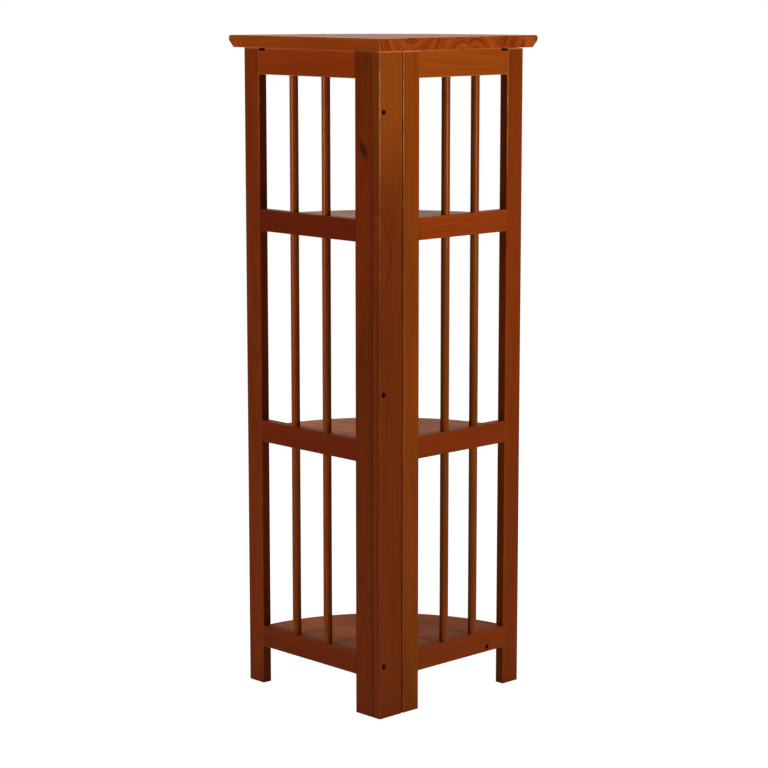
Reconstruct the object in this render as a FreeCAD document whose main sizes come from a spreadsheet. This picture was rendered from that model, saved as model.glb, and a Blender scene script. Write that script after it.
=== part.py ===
"""Folding corner bookcase: two slatted panels, a corner strip, three fold-up shelves and a lift-off top.

Millimetres, +Z up. Sizes along a wall are counted from the wall corner, which stands half the top's reach
behind the origin in X and in Y. The left panel runs along +Y, the right panel along +X, and the open front
faces +X +Y.
"""
import FreeCAD
import Part
import Sketcher
import math
import os
import re

SIZES = {
    # Whole object
    "overall_height": 1213.0,
    "stock": 19.0,
    "ease": 1.5,
    # Top
    "top_reach": 400.0,
    "left_overhang": 42.5,
    "right_overhang": 38.5,
    "top_thickness": 22.0,
    "top_bow": 70.0,
    "lipping_width": 33.0,
    "lipping_bevel": 13.0,
    "lipping_round": 5.0,
    "peg_dia": 8.0,
    "peg_depth": 20.0,
    "peg_rise": 12.0,
    "peg_play": 0.25,
    "peg_chamfer": 1.5,
    "seat_relief": 0.8,
    "notch_length": 17.0,
    "notch_height": 5.0,
    # Panels
    "strip_width": 54.5,
    "fold_gap": 2.5,
    "corner_stile": 44.0,
    "stile_width": 40.0,
    "foot_height": 71.5,
    "rail_height": 40.0,
    "top_rail_height": 47.5,
    "tenon_length": 12.0,
    "tenon_thickness": 9.0,
    "tenon_shoulder": 6.0,
    "spindle_dia": 16.0,
    "spindle_end_dia": 10.0,
    "spindle_end": 12.0,
    "glue_gap": 0.1,
    "hole_room": 1.0,
    # Shelves
    "shelf_thickness": 19.0,
    "shelf_drop": 9.0,
    "bottom_shelf_drop": 3.5,
    "shelf_setback": 82.0,
    "bottom_shelf_setback": 60.5,
    "fold_room": 14.5,
    "shelf_centre_x": 5.0,
    "shelf_centre_y": -10.0,
    "shelf_side_gap": 2.0,
    "shelf_round": 3.0,
    "rest_offset": 30.8,
    "rest_length": 56.0,
    "rest_depth": 16.0,
    "cleat_screw_pitch": 36.0,
    "cleat_screw_length": 26.0,
    # Hinges
    "hinge_length": 40.0,
    "leaf_width": 15.0,
    "leaf_thickness": 1.2,
    "knuckle_dia": 5.0,
    "knuckle_gap": 0.3,
    "hinge_play": 0.3,
    "pin_dia": 2.4,
    "pin_play": 0.05,
    "axis_drop": 1.5,
    "hinge_inset": 32.0,
    "hinge_end_inset": 52.5,
    "fold_hinge_drop": 4.0,
    # Screws
    "screw_dia": 2.6,
    "screw_head_dia": 5.0,
    "screw_length": 13.0,
    "screw_reach": 9.0,
    "screw_pitch": 24.0,
    "sunk_screw_dia": 3.5,
    "sunk_head_dia": 8.0,
    "sunk_head_height": 2.4,
    "sunk_recess_dia": 10.0,
    "sunk_depth": 7.0,
    "strip_screw_length": 36.0,
    "strip_screw_foot": 96.0,
    "strip_screw_drop": 104.0,
    "rest_screw_length": 24.0,
}

doc = FreeCAD.newDocument("CornerBookcase")
sheet = doc.addObject("Spreadsheet::Sheet", "sizes")
for row, (alias, value) in enumerate(SIZES.items(), 1):
    sheet.set(f"A{row}", str(value))
    sheet.setAlias(f"A{row}", alias)
doc.recompute()

Vector = FreeCAD.Vector
Rotation = FreeCAD.Rotation
UP = Vector(0, 0, 1)
TURNED = {
    "+x": Rotation(UP, Vector(1, 0, 0)),
    "-x": Rotation(UP, Vector(-1, 0, 0)),
    "+y": Rotation(UP, Vector(0, 1, 0)),
    "-y": Rotation(UP, Vector(0, -1, 0)),
    "+z": Rotation(),
}
nodes = []

# Places that several pieces share, as expressions in the sizes above.
CORNER = "-top_reach / 2"
FRAME_TOP = "(overall_height - top_thickness)"
MID_STOCK = "(stock / 2)"
TENON_SIDE = "((stock - tenon_thickness) / 2)"
HINGE_SEAT = "(knuckle_dia / 2 + hinge_play)"
SHELF_AXIS = f"(stock + {HINGE_SEAT})"
SHELF_EDGE = f"({SHELF_AXIS} + {HINGE_SEAT})"
SHELF_SIDE = "(stock + shelf_side_gap)"
FOLD_AXIS_X = "(strip_width + fold_gap / 2)"
FOLD_AXIS_Y = f"(stock + {HINGE_SEAT})"
TOP_RADIUS = "sqrt(top_bow ^ 2 + (top_reach + top_bow) ^ 2)"

PANEL_START = {"left": "stock", "right": "(strip_width + fold_gap)"}
INNER_STILE = {"left": "corner_stile", "right": "stile_width"}
PANEL_END = {"left": "(top_reach - left_overhang)", "right": "(top_reach - right_overhang)"}
OPEN_START = {side: f"({PANEL_START[side]} + {INNER_STILE[side]})" for side in PANEL_START}
OPEN_END = {side: f"({PANEL_END[side]} - stile_width)" for side in PANEL_START}

# The upper bay leaves a raised shelf room under the top, and the two lower bays share the rest.
SHELF_RADIUS = {
    "bottom": "(top_reach - bottom_shelf_setback)",
    "middle": "(top_reach - shelf_setback)",
    "upper": "(top_reach - shelf_setback)",
}
UPPER_BAY = f"({SHELF_RADIUS['upper']} + fold_room)"
RAIL_PITCH = f"(({FRAME_TOP} - foot_height - {UPPER_BAY}) / 2)"
RAILS = {
    "bottom": ("foot_height", "rail_height"),
    "middle": (f"(foot_height + {RAIL_PITCH})", "rail_height"),
    "upper": (f"(foot_height + 2 * {RAIL_PITCH})", "rail_height"),
    "top": (f"({FRAME_TOP} - top_rail_height)", "top_rail_height"),
}
LEVELS = list(RAILS)
SHELF_DROP = {"bottom": "bottom_shelf_drop", "middle": "shelf_drop", "upper": "shelf_drop"}
SHELF_TOP = {level: f"({RAILS[level][0]} + rail_height - {drop})" for level, drop in SHELF_DROP.items()}
SHELF_UNDERSIDE = {level: f"({top} - shelf_thickness)" for level, top in SHELF_TOP.items()}
SHELF_AXIS_Z = {level: f"({top} - axis_drop)" for level, top in SHELF_TOP.items()}
REST_CENTRE = f"(({OPEN_START['right']} + 2 * {OPEN_END['right']}) / 3 + rest_offset)"
HINGE_PLACES = (f"({OPEN_START['left']} + hinge_inset)", f"({OPEN_END['left']} - hinge_end_inset)")
STRIP_SCREW_STEP = f"(({FRAME_TOP} - strip_screw_foot - strip_screw_drop) / 2)"
SCREW_STEPS = ("-screw_pitch / 2", "screw_pitch / 2")


def size(text):
    """Return an expression's value, worked out by the sheet."""
    return float(sheet.evalExpression(cells(text)))


def cells(text):
    """Point every size named in an expression at its cell in the sheet."""
    return re.sub(r"\b[a-z]\w*\b(?!\()", r"sizes.\g<0>", text)


def bind(thing, **expressions):
    """Bind an object's properties to expressions in the sizes."""
    for name, text in expressions.items():
        thing.setExpression(name, cells(text))


def place(thing, x, y, z, rotation=None):
    """Turn an object, then bind its position."""
    if rotation is not None:
        thing.Placement = FreeCAD.Placement(Vector(), rotation)
    for axis, text in zip("xyz", (x, y, z)):
        thing.setExpression(f"Placement.Base.{axis}", cells(text))


def on_panel(side, along, inward, up):
    """Order a place, or a size, given along a panel, inward from its wall face and up, as X, Y, Z."""
    return (inward, along, up) if side == "left" else (along, inward, up)


def new_body(label, x="0", y="0", z="0", rotation=None):
    """Start a piece whose own origin lies at a place counted from the wall corner."""
    body = doc.addObject("PartDesign::Body", label)
    body.Label = label
    place(body, f"{x} + {CORNER}", f"{y} + {CORNER}", z, rotation)
    return body


def block(body, kind, start, extent):
    """Add a block to a piece, or cut one out of it."""
    feature = body.newObject(f"PartDesign::{kind}Box", "Block")
    bind(feature, Length=extent[0], Width=extent[1], Height=extent[2])
    place(feature, *start)
    return feature


def rod(body, kind, start, direction, diameter, length):
    """Add a cylinder to a piece, or drill one out of it."""
    feature = body.newObject(f"PartDesign::{kind}Cylinder", "Rod")
    bind(feature, Radius=f"({diameter}) / 2", Height=length)
    place(feature, *start, TURNED[direction])
    return feature


def cone(body, kind, start, direction, first_dia, last_dia, length):
    """Add a countersunk head to a piece, or cut its seat."""
    feature = body.newObject(f"PartDesign::{kind}Cone", "Countersink")
    bind(feature, Radius1=f"({first_dia}) / 2", Radius2=f"({last_dia}) / 2", Height=length)
    place(feature, *start, TURNED[direction])
    return feature


def round_edges(body, feature, chosen, radius):
    """Round the edges of a piece's newest feature that a test picks out."""
    doc.recompute()
    names = [f"Edge{i}" for i, edge in enumerate(feature.Shape.Edges, 1) if chosen(edge)]
    fillet = body.newObject("PartDesign::Fillet", "Eased")
    fillet.Base = (feature, names)
    bind(fillet, Radius=radius)
    return fillet


def runs_along(direction):
    """Make a test for straight edges that run along a direction."""
    def test(edge):
        return edge.Curve.TypeId == "Part::GeomLine" and abs(edge.Curve.Direction.dot(direction)) > 0.999
    return test


def keep(thing):
    """Hand a finished piece in as a node of its own."""
    nodes.append(thing)
    return thing


def group(label, pieces):
    """Hand several alike pieces in as one node."""
    gathered = doc.addObject("Part::Compound", label)
    gathered.Label = label
    gathered.Links = pieces
    return keep(gathered)


def stile(side, which, relief):
    """One upright of a panel, with mortises for the rails on the edge towards the opening."""
    body = new_body(f"{side}_{which}_stile")
    inner = which == "inner"
    start = PANEL_START[side] if inner else OPEN_END[side]
    width = INNER_STILE[side] if inner else "stile_width"
    blank = block(body, "Additive", on_panel(side, start, "0", "0"),
                  on_panel(side, width, "stock", f"{FRAME_TOP} - {relief}"))
    round_edges(body, blank, runs_along(UP), "ease")
    depth = "(tenon_length + hole_room)"
    edge = f"{OPEN_START[side]} - {depth}" if inner else OPEN_END[side]
    for low, height in RAILS.values():
        tenon_height = f"{height} - 2 * tenon_shoulder"
        block(body, "Subtractive",
              on_panel(side, edge, f"{TENON_SIDE} - glue_gap", f"{low} + tenon_shoulder - glue_gap"),
              on_panel(side, depth, "tenon_thickness + 2 * glue_gap", f"{tenon_height} + 2 * glue_gap"))
    return keep(body)


def spindle_place(side, number):
    """Where a spindle stands along its panel: the spindles part the opening into equal thirds."""
    return f"({OPEN_START[side]} + ({OPEN_END[side]} - {OPEN_START[side]}) * {number} / 3)"


def rail(side, level):
    """One crosspiece of a panel, with a tenon at each end and sockets for the spindles' ends."""
    low, height = RAILS[level]
    body = new_body(f"{side}_{level}_rail")
    length = f"{OPEN_END[side]} - {OPEN_START[side]}"
    blank = block(body, "Additive", on_panel(side, OPEN_START[side], "0", low),
                  on_panel(side, length, "stock", height))
    round_edges(body, blank, runs_along(Vector(*on_panel(side, 1, 0, 0))), "ease")
    tenon_height = f"{height} - 2 * tenon_shoulder"
    block(body, "Additive",
          on_panel(side, f"{OPEN_START[side]} - tenon_length", TENON_SIDE, f"{low} + tenon_shoulder"),
          on_panel(side, f"{length} + 2 * tenon_length", "tenon_thickness", tenon_height))
    depth = "(spindle_end + hole_room)"
    mouths = []
    if level != "top":
        mouths.append(f"{low} + {height} - {depth}")
    if level != "bottom":
        mouths.append(low)
    for number in (1, 2):
        for mouth in mouths:
            rod(body, "Subtractive", on_panel(side, spindle_place(side, number), MID_STOCK, mouth), "+z",
                "spindle_end_dia + 2 * glue_gap", depth)
    return keep(body)


def spindle(side, below, above, number):
    """A turned spindle between two rails, thinner at its ends where it goes into them."""
    body = new_body(f"{side}_{above}_spindle_{number}")
    foot = f"({RAILS[below][0]} + {RAILS[below][1]})"
    head = RAILS[above][0]
    along = spindle_place(side, number)
    rod(body, "Additive", on_panel(side, along, MID_STOCK, foot), "+z", "spindle_dia", f"{head} - {foot}")
    rod(body, "Additive", on_panel(side, along, MID_STOCK, f"{foot} - spindle_end"), "+z",
        "spindle_end_dia", f"{head} - {foot} + 2 * spindle_end")
    return keep(body)


def quarter_round(body, edge_x, edge_y, centre_x, centre_y, radius, low, thickness):
    """Pad a board with two straight edges at a right angle and an arc for its front."""
    plane = next(item for item in body.Origin.OriginFeatures if item.Role == "XY_Plane")
    sketch = body.newObject("Sketcher::SketchObject", "Outline")
    sketch.AttachmentSupport = [(plane, "")]
    sketch.MapMode = "FlatFace"
    sketch.setExpression("AttachmentOffset.Base.z", cells(low))
    corner = Vector(size(edge_x), size(edge_y), 0)
    centre = Vector(size(centre_x), size(centre_y), 0)
    reach = size(radius)
    right = Vector(centre.x + math.sqrt(reach ** 2 - (corner.y - centre.y) ** 2), corner.y, 0)
    left = Vector(corner.x, centre.y + math.sqrt(reach ** 2 - (corner.x - centre.x) ** 2), 0)
    angles = [math.atan2(end.y - centre.y, end.x - centre.x) for end in (right, left)]
    sketch.addGeometry(Part.LineSegment(corner, right), False)
    sketch.addGeometry(Part.ArcOfCircle(Part.Circle(centre, UP, reach), *angles), False)
    sketch.addGeometry(Part.LineSegment(left, corner), False)
    for first, second in ((0, 1), (1, 2), (2, 0)):
        sketch.addConstraint(Sketcher.Constraint("Coincident", first, 2, second, 1))
    sketch.addConstraint(Sketcher.Constraint("Horizontal", 0))
    sketch.addConstraint(Sketcher.Constraint("Vertical", 2))
    for constraint, text in (
            (Sketcher.Constraint("DistanceX", -1, 1, 0, 1, corner.x), edge_x),
            (Sketcher.Constraint("DistanceY", -1, 1, 0, 1, corner.y), edge_y),
            (Sketcher.Constraint("DistanceX", -1, 1, 1, 3, centre.x), centre_x),
            (Sketcher.Constraint("DistanceY", -1, 1, 1, 3, centre.y), centre_y),
            (Sketcher.Constraint("Radius", 1, reach), radius)):
        index = sketch.addConstraint(constraint)
        sketch.setExpression(f"Constraints[{index}]", cells(text))
    pad = body.newObject("PartDesign::Pad", "Board")
    pad.Profile = sketch
    bind(pad, Length=thickness)
    return pad


def leaf(label, middle, x, y, z, rotation):
    """A butt hinge's leaf: pin along its own Z, plate towards +X, back on the wood at -Y.

    One leaf of a pair has the middle knuckle, the other the two outer ones.
    """
    body = new_body(label, x, y, z, rotation)
    back = f"-{HINGE_SEAT}"
    block(body, "Additive", (HINGE_SEAT, back, "-hinge_length / 2"),
          (f"leaf_width - {HINGE_SEAT}", "leaf_thickness", "hinge_length"))
    third = "(hinge_length / 3)"
    if middle:
        knuckles = [(f"(knuckle_gap - {third}) / 2", f"{third} - knuckle_gap")]
    else:
        knuckles = [("-hinge_length / 2", f"{third} - knuckle_gap / 2"),
                    (f"({third} + knuckle_gap) / 2", f"{third} - knuckle_gap / 2")]
    for low, length in knuckles:
        block(body, "Additive", ("0", back, low), (f"{HINGE_SEAT}", "leaf_thickness", length))
        rod(body, "Additive", ("0", "0", low), "+z", "knuckle_dia", length)
    rod(body, "Subtractive", ("0", "0", "-hinge_length / 2"), "+z", "pin_dia + 2 * pin_play",
        "hinge_length")
    for step in SCREW_STEPS:
        cone(body, "Subtractive", ("screw_reach", f"leaf_thickness - {HINGE_SEAT}", step), "-y",
             "screw_head_dia + 2 * glue_gap", "screw_dia + 2 * glue_gap", "leaf_thickness")
    return body


def pin(label, x, y, z, rotation):
    """A hinge pin, as long as its hinge."""
    body = new_body(label, x, y, z, rotation)
    rod(body, "Additive", ("0", "0", "-hinge_length / 2"), "+z", "pin_dia", "hinge_length")
    return body


def flush_screw(label, x, y, z, direction, head, length):
    """A countersunk screw whose head's face lies at a place and whose point goes a given way."""
    body = new_body(label, x, y, z, TURNED[direction])
    cone(body, "Additive", ("0", "0", "0"), "+z", "screw_head_dia", "screw_dia", head)
    rod(body, "Additive", ("0", "0", head), "+z", "screw_dia", f"{length} - {head}")
    return body


def sunk_screw(label, x, z, length):
    """A round-headed screw set deep in a hole from the right wall side, pointing inward."""
    body = new_body(label, x, "sunk_depth", z, TURNED["+y"])
    rod(body, "Additive", ("0", "0", "-sunk_head_height"), "+z", "sunk_head_dia", "sunk_head_height")
    rod(body, "Additive", ("0", "0", "0"), "+z", "sunk_screw_dia", length)
    return body


def drill_sunk(body, x, z):
    """Drill the wide recess and the screw's hole through a piece of the right wall side."""
    rod(body, "Subtractive", (x, "0", z), "+y", "sunk_recess_dia", "sunk_depth")
    rod(body, "Subtractive", (x, "0", z), "+y", "sunk_screw_dia + 2 * glue_gap", "stock")


def pilot(body, start, direction, diameter, length):
    """Drill a screw's blind hole, a little deeper than its point."""
    rod(body, "Subtractive", start, direction, f"{diameter} + 2 * glue_gap", f"{length} + hole_room")


# The two panels.
stiles = {}
for side in PANEL_START:
    for which in ("inner", "outer"):
        relieved = (side, which) in (("left", "inner"), ("right", "outer"))
        stiles[side, which] = stile(side, which, "seat_relief" if relieved else "0")
rails = {(side, level): rail(side, level) for side in PANEL_START for level in LEVELS}
for side in PANEL_START:
    for below, above in zip(LEVELS, LEVELS[1:]):
        for number in (1, 2):
            spindle(side, below, above, number)

# The top rails are cut back beside the outer stiles, which leaves a small gap under the top.
for side in PANEL_START:
    block(rails[side, "top"], "Subtractive",
          on_panel(side, f"{OPEN_END[side]} - notch_length", "0", f"{FRAME_TOP} - notch_height"),
          on_panel(side, "notch_length", "stock", "notch_height"))

# The corner strip covers the edge of the left inner stile and is screwed to it.
strip = keep(new_body("corner_strip"))
strip_blank = block(strip, "Additive", ("0", "0", "0"), ("strip_width", "stock", FRAME_TOP))
round_edges(strip, strip_blank, runs_along(UP), "ease")
strip_screws = []
for number in range(3):
    height = f"(strip_screw_foot + {number} * {STRIP_SCREW_STEP})"
    drill_sunk(strip, MID_STOCK, height)
    pilot(stiles["left", "inner"], (MID_STOCK, "stock", height), "+y", "sunk_screw_dia",
          "strip_screw_length + sunk_depth - stock")
    strip_screws.append(sunk_screw(f"strip_screw_{number + 1}", MID_STOCK, height, "strip_screw_length"))
group("strip_screws", strip_screws)

# The shelves, each hung from a left rail by two hinges that lie shut in the gap between them.
DOWN_ON_RAIL = Rotation(Vector(0, 0, -1), Vector(1, 0, 0), Vector(0, -1, 0), "XYZ")
DOWN_ON_SHELF = Rotation(Vector(0, 0, -1), Vector(-1, 0, 0), Vector(0, 1, 0), "XYZ")
DRIVEN = "screw_length - leaf_thickness"
for level in SHELF_TOP:
    shelf = keep(new_body(f"{level}_shelf"))
    board = quarter_round(shelf, SHELF_EDGE, SHELF_SIDE, "shelf_centre_x", "shelf_centre_y",
                          SHELF_RADIUS[level], SHELF_UNDERSIDE[level], "shelf_thickness")
    round_edges(shelf, board, lambda edge: edge.Curve.TypeId == "Part::GeomCircle", "shelf_round")
    rail_leaves, shelf_leaves, pins, rail_screws, shelf_screws = [], [], [], [], []
    for number, along in enumerate(HINGE_PLACES, 1):
        axis = (SHELF_AXIS, along, SHELF_AXIS_Z[level])
        rail_leaves.append(leaf(f"{level}_rail_leaf_{number}", False, *axis, DOWN_ON_RAIL))
        shelf_leaves.append(leaf(f"{level}_shelf_leaf_{number}", True, *axis, DOWN_ON_SHELF))
        pins.append(pin(f"{level}_pin_{number}", *axis, DOWN_ON_RAIL))
        height = f"{SHELF_AXIS_Z[level]} - screw_reach"
        for step in SCREW_STEPS:
            spot = f"{along} + {step}"
            pilot(rails["left", level], ("stock", spot, height), "-x", "screw_dia", DRIVEN)
            pilot(shelf, (SHELF_EDGE, spot, height), "+x", "screw_dia", DRIVEN)
            count = len(rail_screws) + 1
            rail_screws.append(flush_screw(f"{level}_rail_screw_{count}", "stock + leaf_thickness", spot,
                                           height, "-x", "leaf_thickness", "screw_length"))
            shelf_screws.append(flush_screw(f"{level}_shelf_screw_{count}",
                                            f"{SHELF_EDGE} - leaf_thickness", spot, height, "+x",
                                            "leaf_thickness", "screw_length"))
    group(f"{level}_rail_leaves", rail_leaves)
    group(f"{level}_shelf_leaves", shelf_leaves)
    group(f"{level}_hinge_pins", pins)
    group(f"{level}_rail_screws", rail_screws)
    group(f"{level}_shelf_screws", shelf_screws)

# Rests on the right panel's rails, filling the rail's face under each shelf.
cleat_screws = []
for level, underside in SHELF_UNDERSIDE.items():
    low = RAILS[level][0]
    middle = f"({low} + {underside}) / 2"
    rest = keep(new_body(f"{level}_shelf_rest"))
    block(rest, "Additive", (f"{REST_CENTRE} - rest_length / 2", "stock", low),
          ("rest_length", "rest_depth", f"{underside} - {low}"))
    if level == "bottom":
        drill_sunk(rails["right", level], REST_CENTRE, middle)
        pilot(rest, (REST_CENTRE, "stock", middle), "+y", "sunk_screw_dia",
              "rest_screw_length + sunk_depth - stock")
        rest_screw = sunk_screw("bottom_rest_screw", REST_CENTRE, middle, "rest_screw_length")
        keep(rest_screw)
        continue
    face = "stock + rest_depth"
    for step in ("-cleat_screw_pitch / 2", "cleat_screw_pitch / 2"):
        spot = f"{REST_CENTRE} + {step}"
        cone(rest, "Subtractive", (spot, face, middle), "-y", "screw_head_dia + 2 * glue_gap",
             "screw_dia + 2 * glue_gap", "leaf_thickness")
        rod(rest, "Subtractive", (spot, face, middle), "-y", "screw_dia + 2 * glue_gap", "rest_depth")
        pilot(rails["right", level], (spot, "stock", middle), "-y", "screw_dia",
              "cleat_screw_length - rest_depth")
        cleat_screws.append(flush_screw(f"cleat_screw_{len(cleat_screws) + 1}", spot, face, middle, "-y",
                                        "leaf_thickness", "cleat_screw_length"))
group("shelf_rest_screws", cleat_screws)

# The hinges that join the right panel to the strip lie open on their inner faces, one under each shelf.
TO_STRIP = Rotation(Vector(0, 1, 0), 180)
strip_leaves, panel_leaves, fold_pins, fold_screws = [], [], [], []
for number, underside in enumerate(SHELF_UNDERSIDE.values(), 1):
    height = f"({underside} - fold_hinge_drop - hinge_length / 2)"
    axis = (FOLD_AXIS_X, FOLD_AXIS_Y, height)
    strip_leaves.append(leaf(f"strip_leaf_{number}", False, *axis, TO_STRIP))
    panel_leaves.append(leaf(f"panel_leaf_{number}", True, *axis, Rotation()))
    fold_pins.append(pin(f"fold_pin_{number}", *axis, Rotation()))
    for wood, spot in ((strip, f"{FOLD_AXIS_X} - screw_reach"),
                       (stiles["right", "inner"], f"{FOLD_AXIS_X} + screw_reach")):
        for step in SCREW_STEPS:
            pilot(wood, (spot, "stock", f"{height} + {step}"), "-y", "screw_dia", DRIVEN)
            fold_screws.append(flush_screw(f"fold_screw_{len(fold_screws) + 1}", spot,
                                           "stock + leaf_thickness", f"{height} + {step}", "-y",
                                           "leaf_thickness", "screw_length"))
group("fold_strip_leaves", strip_leaves)
group("fold_panel_leaves", panel_leaves)
group("fold_hinge_pins", fold_pins)
group("fold_hinge_screws", fold_screws)

# The top: a quarter-round board and a moulded lipping along its front, lifted off three pegs.
top_board = keep(new_body("top_board"))
board = quarter_round(top_board, "0", "0", "-top_bow", "-top_bow", f"{TOP_RADIUS} - lipping_width",
                      FRAME_TOP, "top_thickness")


def at_wall_corner(edge):
    """Pick the upright edge at the wall corner."""
    return runs_along(UP)(edge) and math.hypot(edge.CenterOfMass.x, edge.CenterOfMass.y) < size("ease")


round_edges(top_board, board, at_wall_corner, "ease")

lipping = keep(new_body("top_lipping", "-top_bow", "-top_bow"))
section_plane = next(item for item in lipping.Origin.OriginFeatures if item.Role == "XZ_Plane")
section = lipping.newObject("Sketcher::SketchObject", "Section")
section.AttachmentSupport = [(section_plane, "")]
section.MapMode = "FlatFace"
section.setExpression("AttachmentOffset.Base.y", cells(FRAME_TOP))
outer = size(TOP_RADIUS)
inner = outer - size("lipping_width")
bevel = size("lipping_bevel")
bend = size("lipping_round")
thick = size("top_thickness")
corners = [Vector(inner, 0, 0), Vector(outer - bevel, 0, 0), Vector(outer, bevel, 0),
           Vector(outer, thick - bend, 0)]
for first, second in zip(corners, corners[1:]):
    section.addGeometry(Part.LineSegment(first, second), False)
bend_circle = Part.Circle(Vector(outer - bend, thick - bend, 0), UP, bend)
section.addGeometry(Part.ArcOfCircle(bend_circle, 0, math.pi / 2), False)
section.addGeometry(Part.LineSegment(Vector(outer - bend, thick, 0), Vector(inner, thick, 0)), False)
section.addGeometry(Part.LineSegment(Vector(inner, thick, 0), corners[0]), False)
meetings = ["Coincident", "Coincident", "Tangent", "Tangent", "Coincident", "Coincident"]
for first, meeting in enumerate(meetings):
    section.addConstraint(Sketcher.Constraint(meeting, first, 2, (first + 1) % len(meetings), 1))
for line in (0, 4):
    section.addConstraint(Sketcher.Constraint("Horizontal", line))
for line in (2, 5):
    section.addConstraint(Sketcher.Constraint("Vertical", line))
section.addConstraint(Sketcher.Constraint("PointOnObject", 0, 1, -1))
for constraint, text in (
        (Sketcher.Constraint("DistanceX", -1, 1, 0, 1, inner), f"{TOP_RADIUS} - lipping_width"),
        (Sketcher.Constraint("DistanceX", 0, 1, 1, 2, outer - inner), "lipping_width"),
        (Sketcher.Constraint("DistanceX", 1, 1, 1, 2, bevel), "lipping_bevel"),
        (Sketcher.Constraint("DistanceY", 1, 1, 1, 2, bevel), "lipping_bevel"),
        (Sketcher.Constraint("DistanceY", 5, 2, 5, 1, thick), "top_thickness"),
        (Sketcher.Constraint("Radius", 3, bend), "lipping_round")):
    index = section.addConstraint(constraint)
    section.setExpression(f"Constraints[{index}]", cells(text))
sweep = lipping.newObject("PartDesign::Revolution", "Moulding")
sweep.Profile = section
sweep.ReferenceAxis = (section, ["V_Axis"])
sweep.Angle = 90
for extent in (("top_bow", TOP_RADIUS, "top_thickness"), (TOP_RADIUS, "top_bow", "top_thickness")):
    block(lipping, "Subtractive", ("0", "0", FRAME_TOP), extent)

pegs = []
for side, which in (("left", "inner"), ("left", "outer"), ("right", "outer")):
    start = PANEL_START[side] if which == "inner" else OPEN_END[side]
    width = INNER_STILE[side] if which == "inner" else "stile_width"
    x, y, low = on_panel(side, f"{start} + {width} / 2", MID_STOCK, f"{FRAME_TOP} - peg_depth")
    peg = new_body(f"{side}_{which}_peg", x, y)
    dowel = rod(peg, "Additive", ("0", "0", low), "+z", "peg_dia", "peg_depth + peg_rise")
    doc.recompute()
    rims = [f"Edge{i}" for i, edge in enumerate(dowel.Shape.Edges, 1)
            if edge.Curve.TypeId == "Part::GeomCircle" and edge.CenterOfMass.z > size(FRAME_TOP)]
    chamfer = peg.newObject("PartDesign::Chamfer", "Lead")
    chamfer.Base = (dowel, rims)
    bind(chamfer, Size="peg_chamfer")
    pegs.append(peg)
    rod(stiles[side, which], "Subtractive", (x, y, f"{low} - hole_room"), "+z", "peg_dia + 2 * glue_gap",
        "peg_depth + hole_room")
    rod(top_board, "Subtractive", (x, y, FRAME_TOP), "+z", "peg_dia + 2 * peg_play", "peg_rise + hole_room")
group("top_pegs", pegs)

doc.recompute()
for thing in doc.Objects:
    if "Invalid" in thing.State or "Error" in thing.State:
        raise RuntimeError(f"{thing.Label} failed: {thing.State}")
os.makedirs("parts", exist_ok=True)
for node in nodes:
    if node.Shape.isNull() or not node.Shape.isValid():
        raise RuntimeError(f"{node.Label} has no valid shape")
for node in nodes:
    node.Shape.exportStep(f"parts/{node.Label}.step")
print(len(nodes), "nodes written")
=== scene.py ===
# %% [markdown]
# # A folding corner bookcase in stained pine
#
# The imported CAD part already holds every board, spindle, hinge and screw in its place. This lesson dresses it for
# a picture: the boards get a figure of growth rings that runs through the solid wood, a reddish-brown satin stain
# goes over it, the hinges become brass and the screws get threads and driven heads.

# %% Load the frame and measure it
import math

import bpy
import numpy as np
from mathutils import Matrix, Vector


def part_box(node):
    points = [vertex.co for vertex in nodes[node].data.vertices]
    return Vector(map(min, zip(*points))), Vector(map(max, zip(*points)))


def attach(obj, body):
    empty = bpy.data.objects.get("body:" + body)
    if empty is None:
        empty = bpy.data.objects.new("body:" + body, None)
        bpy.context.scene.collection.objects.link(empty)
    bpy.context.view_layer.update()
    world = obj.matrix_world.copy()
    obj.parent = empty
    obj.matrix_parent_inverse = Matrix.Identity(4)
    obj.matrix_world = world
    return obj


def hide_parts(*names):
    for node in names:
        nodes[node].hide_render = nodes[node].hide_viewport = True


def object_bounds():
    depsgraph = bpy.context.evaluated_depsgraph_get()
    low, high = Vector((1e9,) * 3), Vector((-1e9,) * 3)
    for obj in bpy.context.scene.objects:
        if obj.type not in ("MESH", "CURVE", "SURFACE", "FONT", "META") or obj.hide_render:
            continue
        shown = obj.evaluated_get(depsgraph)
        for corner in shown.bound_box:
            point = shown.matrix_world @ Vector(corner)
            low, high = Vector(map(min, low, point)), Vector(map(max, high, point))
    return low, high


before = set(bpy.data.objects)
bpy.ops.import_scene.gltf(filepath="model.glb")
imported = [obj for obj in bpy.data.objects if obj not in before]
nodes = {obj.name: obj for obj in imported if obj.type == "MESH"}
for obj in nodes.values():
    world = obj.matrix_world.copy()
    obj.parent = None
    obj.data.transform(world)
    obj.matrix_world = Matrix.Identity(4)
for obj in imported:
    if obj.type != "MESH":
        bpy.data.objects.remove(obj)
cad_low, cad_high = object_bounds()
print("frame", len(nodes), "nodes, box", [round(v, 4) for v in cad_high - cad_low])

# %% [markdown]
# ## The camera
#
# The bookcase was taken from outside its corner, a little above the top board, with a long lens. A level camera
# with a large shift would keep the posts upright, but every other view would then look past the object. The camera
# is tilted down instead, from the same side and height and a bit further back, which keeps the posts nearly upright.

# %% Place the camera
PICTURE_PIXELS = 768.0
FOCAL_PIXELS = 2392.0
SENSOR_MM = 36.0
STAND = (-3.065, -3.192, 1.317)
HEADING = math.radians(46.14)
TILT = math.radians(9.65)

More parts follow.
